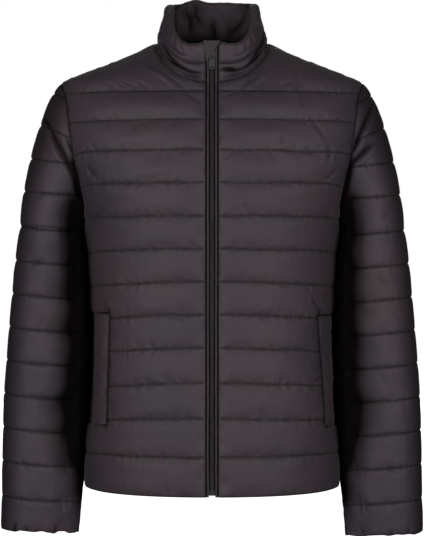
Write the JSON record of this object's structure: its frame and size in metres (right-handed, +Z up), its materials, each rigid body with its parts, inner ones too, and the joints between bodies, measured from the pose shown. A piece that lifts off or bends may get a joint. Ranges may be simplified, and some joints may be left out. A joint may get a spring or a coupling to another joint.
{
  "type": "puffer jacket",
  "caption": "Quilted charcoal puffer jacket with a stand collar, full front zip and welt hand pockets, filled out as it is worn.",
  "frame": {"origin": "middle of the neck base, level with the highest points of the shoulders", "axes": "+Z up, the front faces -Y, +X towards the wearer's left sleeve"},
  "size_m": [0.639, 0.2487, 0.7931],
  "materials": {
    "shell_nylon": "plain-woven nylon taffeta with a soft sheen",
    "lining": "plain-woven polyester, smooth",
    "zip_tape": "twill-woven polyester tape, matte",
    "zip_coil": "moulded nylon coil",
    "zip_metal": "zinc casting, dark gunmetal lacquer, satin"
  },
  "bodies": {
    "jacket": {"front_left": "shell_nylon", "front_right": "shell_nylon", "back": "shell_nylon", "sleeve_left": "shell_nylon", "sleeve_right": "shell_nylon", "collar_outer": "shell_nylon", "collar_facing": "lining", "zip_lip_left": "shell_nylon", "zip_lip_right": "shell_nylon", "zip_tape_left": "zip_tape", "zip_tape_right": "zip_tape", "zip_chain": "zip_coil", "zip_garage": "shell_nylon", "zip_slider": "zip_metal", "zip_retainer": "zip_coil", "welt_left": "shell_nylon", "welt_right": "shell_nylon"},
    "pull_tab": {"zip_pull": "zip_metal"}
  },
  "joints": [
    {"name": "pull_hinge", "type": "hinge", "parent": "jacket", "child": "pull_tab", "pos_m": [0, -0.08986, -0.02518], "axis": [-1, 0, 0], "range_deg": [0, 110]}
  ]
}
